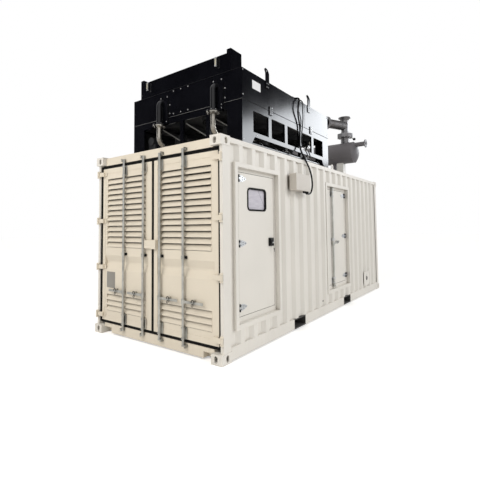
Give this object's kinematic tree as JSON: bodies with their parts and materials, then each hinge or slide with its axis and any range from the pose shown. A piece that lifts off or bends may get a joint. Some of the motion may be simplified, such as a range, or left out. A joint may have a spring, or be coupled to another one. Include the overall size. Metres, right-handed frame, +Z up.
{
  "type": "containerised generator set enclosure",
  "caption": "Plant container with louvred cargo doors, two personnel doors in one side, a raised radiator and an exhaust silencer on its roof.",
  "frame": {"origin": "middle of the plane under the four bottom corner fittings", "axes": "X along the container from the cargo doors to the rear wall, -Y towards the side with the personnel doors, Z up"},
  "size_m": [6.058, 2.564, 4.014],
  "materials": {
    "container_paint": "gloss off-white coating",
    "door_paint": "gloss cream coating",
    "inner_floor": "satin grey chequer plate",
    "zinc": "zinc plated",
    "bright_steel": "brushed stainless",
    "rubber": "soft",
    "window_glass": "clear pane",
    "latch_black": "satin",
    "radiator_black": "gloss black coating",
    "core_metal": "dark finned core",
    "fan_grey": "satin grey",
    "silencer_dark": "heat resistant matt",
    "pipe_steel": "dull mill finish",
    "riser_paint": "satin light grey",
    "cable_black": "smooth sheath"
  },
  "bodies": {
    "container": {"bottom_corner_fittings": "container_paint", "top_corner_fittings": "container_paint", "corner_posts": "container_paint", "bottom_side_rails": "container_paint", "fork_pockets": "container_paint", "floor_cross_members": "container_paint", "floor": "inner_floor", "door_end_beams": "door_paint", "top_side_rails": "container_paint", "rear_end_rails": "container_paint", "rear_wall": "container_paint", "far_side_wall": "container_paint", "near_wall_panels": "container_paint", "near_wall_door_panels": "container_paint", "roof_panel": "container_paint", "personnel_door_frames": "container_paint", "personnel_door_linings": "container_paint", "side_door_hinge_brackets": "bright_steel", "junction_box": "container_paint", "cable_glands": "latch_black", "fan_supply_cable": "cable_black", "fan_sensor_cable": "cable_black", "cable_entry_plate": "container_paint", "lashing_eye": "container_paint", "cargo_hinge_lugs": "door_paint", "bar_keepers": "zinc", "radiator_side_frames": "radiator_black", "radiator_end_frames": "radiator_black", "radiator_casing": "radiator_black", "radiator_core": "core_metal", "radiator_fan_deck": "fan_grey", "fan_motor_beams": "fan_grey", "expansion_tank": "radiator_black", "coolant_headers": "radiator_black", "coolant_pipes": "bright_steel", "coolant_pump": "fan_grey", "radiator_lifting_lugs": "radiator_black", "silencer": "silencer_dark", "silencer_saddles": "silencer_dark", "exhaust_riser": "riser_paint", "exhaust_tee": "pipe_steel"},
    "left_cargo_door": {"cargo_door_left": "door_paint", "cargo_door_left_gasket": "rubber", "cargo_door_left_brackets": "zinc"},
    "right_cargo_door": {"cargo_door_right": "door_paint", "cargo_door_right_gasket": "rubber", "cargo_door_right_brackets": "zinc"},
    "left_outer_lock_bar": {"lock_bar_1": "zinc"},
    "left_inner_lock_bar": {"lock_bar_2": "zinc"},
    "right_inner_lock_bar": {"lock_bar_3": "zinc"},
    "right_outer_lock_bar": {"lock_bar_4": "zinc"},
    "front_personnel_door": {"front_door_leaf": "container_paint", "front_door_window_seal": "rubber", "front_door_window_pane": "window_glass", "front_door_hinges": "bright_steel", "front_door_latch": "latch_black"},
    "rear_personnel_door": {"rear_door_leaf": "container_paint", "rear_door_hinges": "bright_steel"},
    "rear_door_bar": {"rear_door_lock_bar": "zinc"}
  },
  "joints": [
    {"name": "left_cargo_door_hinge", "type": "hinge", "parent": "container", "child": "left_cargo_door", "pos_m": [-3.009, 1.204, 1.3], "axis": [0, 0, -1], "range_deg": [0, 250]},
    {"name": "right_cargo_door_hinge", "type": "hinge", "parent": "container", "child": "right_cargo_door", "pos_m": [-3.009, -1.204, 1.3], "axis": [0, 0, 1], "range_deg": [0, 250]},
    {"name": "left_outer_lock_bar_turn", "type": "hinge", "parent": "left_cargo_door", "child": "left_outer_lock_bar", "pos_m": [-2.998, 0.59, 1.3], "axis": [0, 0, -1], "range_deg": [-95, 0]},
    {"name": "left_inner_lock_bar_turn", "type": "hinge", "parent": "left_cargo_door", "child": "left_inner_lock_bar", "pos_m": [-2.998, 0.164, 1.3], "axis": [0, 0, -1], "range_deg": [-95, 0]},
    {"name": "right_inner_lock_bar_turn", "type": "hinge", "parent": "right_cargo_door", "child": "right_inner_lock_bar", "pos_m": [-2.998, -0.164, 1.3], "axis": [0, 0, 1], "range_deg": [-95, 0]},
    {"name": "right_outer_lock_bar_turn", "type": "hinge", "parent": "right_cargo_door", "child": "right_outer_lock_bar", "pos_m": [-2.998, -0.59, 1.3], "axis": [0, 0, 1], "range_deg": [-95, 0]},
    {"name": "front_personnel_door_hinge", "type": "hinge", "parent": "container", "child": "front_personnel_door", "pos_m": [-2.62, -1.169, 1.329], "axis": [0, 0, 1], "range_deg": [-95, 0]},
    {"name": "rear_personnel_door_hinge", "type": "hinge", "parent": "container", "child": "rear_personnel_door", "pos_m": [0.93, -1.169, 1.329], "axis": [0, 0, -1], "range_deg": [-95, 0]},
    {"name": "rear_door_bar_turn", "type": "hinge", "parent": "rear_personnel_door", "child": "rear_door_bar", "pos_m": [0.27, -1.186, 1.329], "axis": [0, 0, 1], "range_deg": [-90, 0]}
  ]
}
